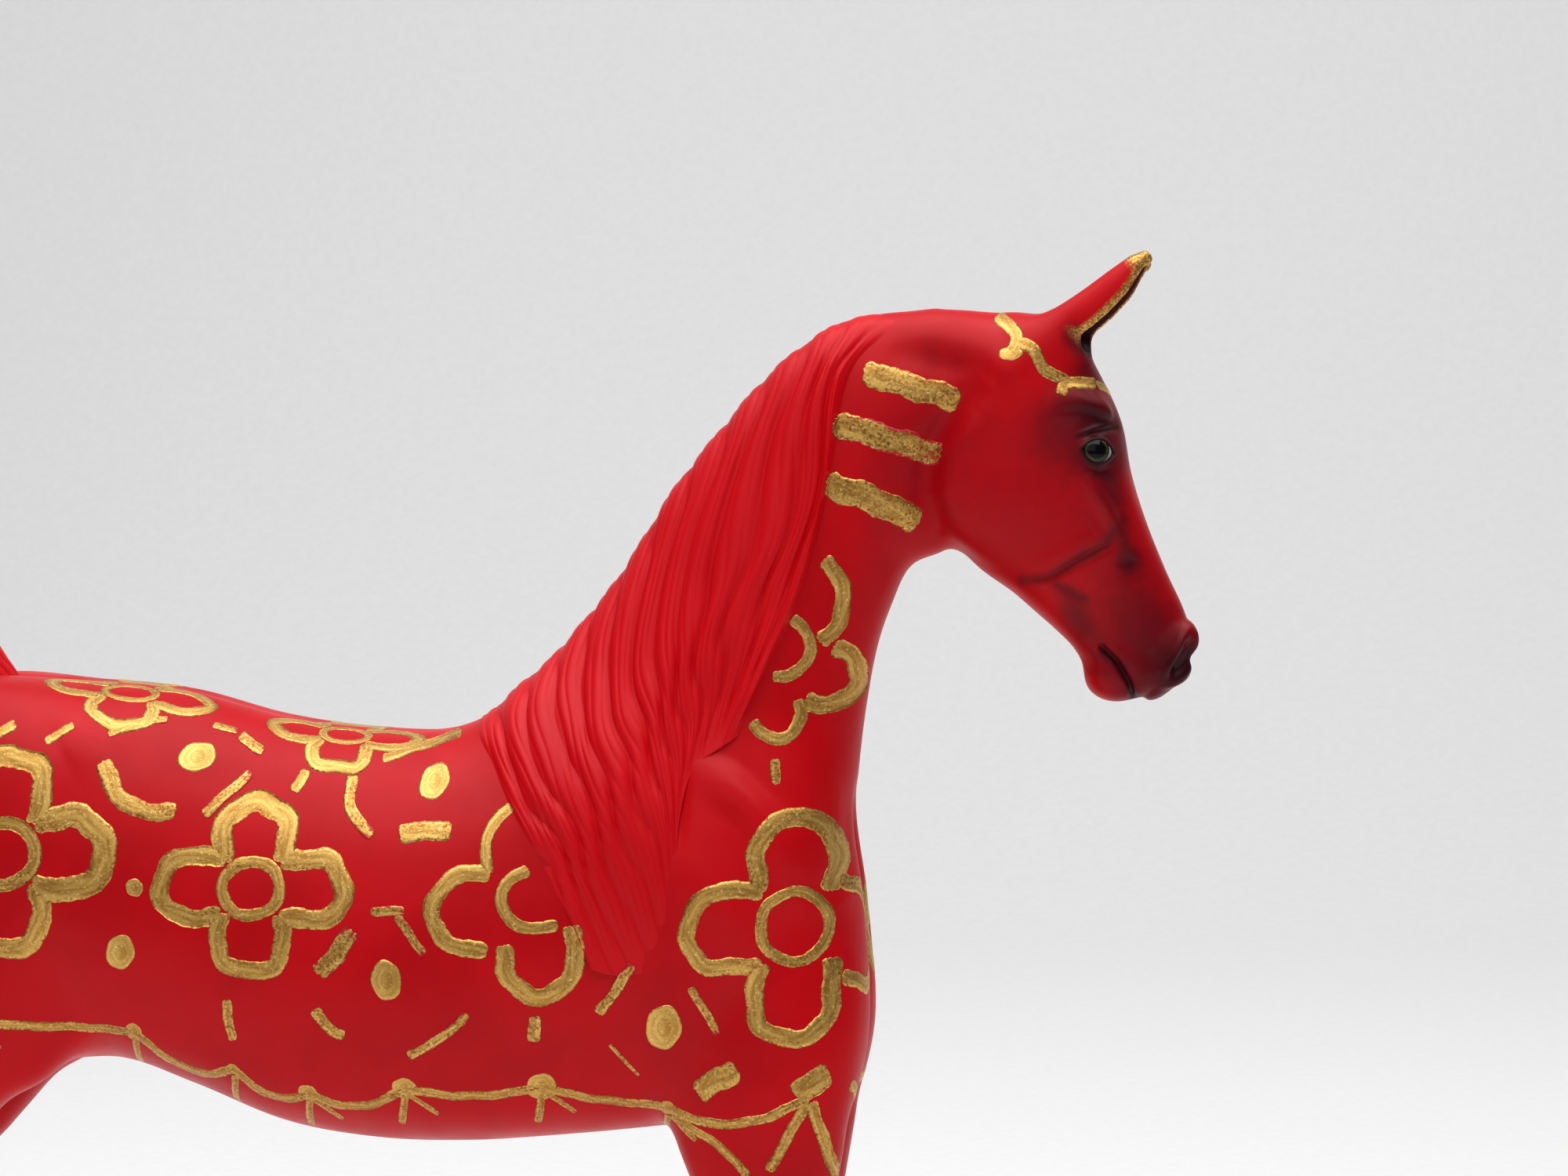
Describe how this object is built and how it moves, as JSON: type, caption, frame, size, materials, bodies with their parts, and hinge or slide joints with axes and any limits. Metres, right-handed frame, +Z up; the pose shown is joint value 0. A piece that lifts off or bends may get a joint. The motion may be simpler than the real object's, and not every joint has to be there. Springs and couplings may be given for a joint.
{
  "type": "painted horse figurine",
  "caption": "Standing show-horse figurine with arched neck, raised tail and hand-painted flower pattern, in the manner of a dala horse; rests on its hooves.",
  "frame": {"origin": "on the ground under the middle of the whole horse's bounding box", "axes": "+X the way the horse faces, +Y towards its left side, +Z up"},
  "size_m": [0.2778, 0.0626, 0.2499],
  "materials": {
    "body_red": "satin red paint over moulded plastic, hand-painted gold pattern",
    "hair_red": "satin red paint over moulded strands",
    "leg_red": "satin red paint over moulded plastic",
    "ear_red": "satin red paint, gold along the rims",
    "steel_wire": "drawn steel wire",
    "gold_paint": "metallic gold acrylic, brushed on by hand",
    "eye_gloss": "glossy varnish over a painted eye",
    "hoof_dark": "satin dark burgundy paint"
  },
  "bodies": {
    "root": {"right_body_shell": "body_red", "left_body_shell": "body_red", "mane": "hair_red", "right_ear": "ear_red", "left_ear": "ear_red", "tail": "hair_red", "right_foreleg": "leg_red", "left_foreleg": "leg_red", "right_hindleg": "leg_red", "left_hindleg": "leg_red", "right_foreleg_wire": "steel_wire", "left_foreleg_wire": "steel_wire", "right_hindleg_wire": "steel_wire", "left_hindleg_wire": "steel_wire", "tail_wire": "steel_wire"}
  },
  "joints": []
}
